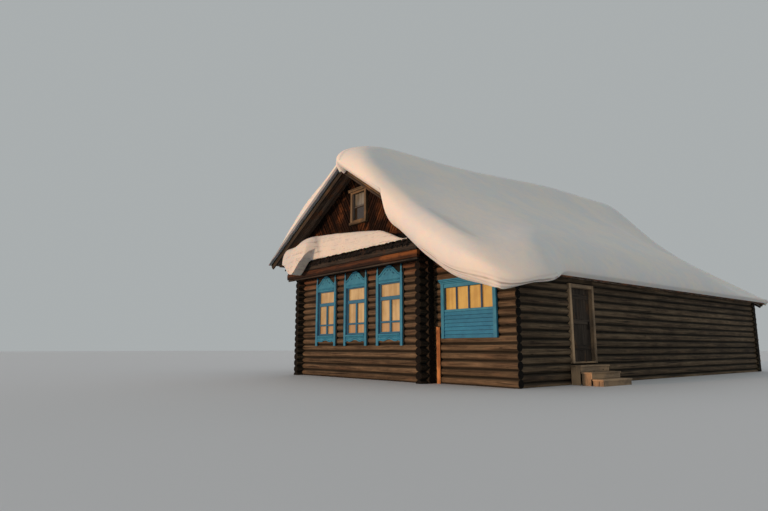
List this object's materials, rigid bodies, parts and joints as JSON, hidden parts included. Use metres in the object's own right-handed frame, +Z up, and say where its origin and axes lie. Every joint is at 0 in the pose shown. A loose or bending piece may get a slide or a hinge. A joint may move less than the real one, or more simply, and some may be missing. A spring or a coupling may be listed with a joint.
{
  "type": "log farmhouse",
  "caption": "Traditional log farmhouse with blue carved window casings, a boarded pent roof over the street windows, a lean-to annex and one long gable roof heavy with snow.",
  "frame": {"origin": "at ground level, under the middle of the whole house's outline", "axes": "+X to the right seen from the street, +Y from the street front to the back, +Z up"},
  "size_m": [10.834, 16.3352, 7.4292],
  "materials": {
    "logs": "weathered, matt",
    "roof_boards": "grey, weathered",
    "gable_boards": "grey-brown, weathered",
    "dark_trim": "dark brown, weathered",
    "beam": "orange-brown, bare",
    "fascia": "grey-brown, weathered",
    "floor_boards": "bare boards",
    "carved_trim": "worn light blue paint",
    "sash": "worn deep blue paint",
    "siding": "worn blue-green paint",
    "window_frame": "bare, weathered",
    "glass": "clear, lit by a low sun",
    "snow": "soft settled snow"
  },
  "bodies": {
    "root": {"street_wall": "logs", "back_wall": "logs", "left_wall": "logs", "middle_wall": "logs", "annex_side_wall": "logs", "annex_front_wall": "logs", "cabin_floor": "floor_boards", "annex_floor": "floor_boards", "attic_floor": "floor_boards", "door_steps": "floor_boards", "street_gable": "gable_boards", "back_gable": "gable_boards", "attic_window_frame": "window_frame", "attic_window_glass": "glass", "roof_left": "roof_boards", "roof_right": "roof_boards", "pent_boards": "roof_boards", "ridge_beam": "dark_trim", "front_rake": "dark_trim", "back_rake": "dark_trim", "door": "dark_trim", "pent_beam": "beam", "corner_board": "beam", "pent_fascia": "fascia", "door_frame": "window_frame", "street_window_1_casing": "carved_trim", "street_window_1_sash": "sash", "street_window_1_glass": "glass", "street_window_2_casing": "carved_trim", "street_window_2_sash": "sash", "street_window_2_glass": "glass", "street_window_3_casing": "carved_trim", "street_window_3_sash": "sash", "street_window_3_glass": "glass", "side_window_1_casing": "carved_trim", "side_window_1_sash": "sash", "side_window_1_glass": "glass", "side_window_2_casing": "carved_trim", "side_window_2_sash": "sash", "side_window_2_glass": "glass", "annex_window_casing": "carved_trim", "annex_window_sash": "sash", "annex_window_glass": "glass", "annex_siding": "siding", "snow_right": "snow", "snow_left": "snow", "snow_pent": "snow"}
  },
  "joints": []
}
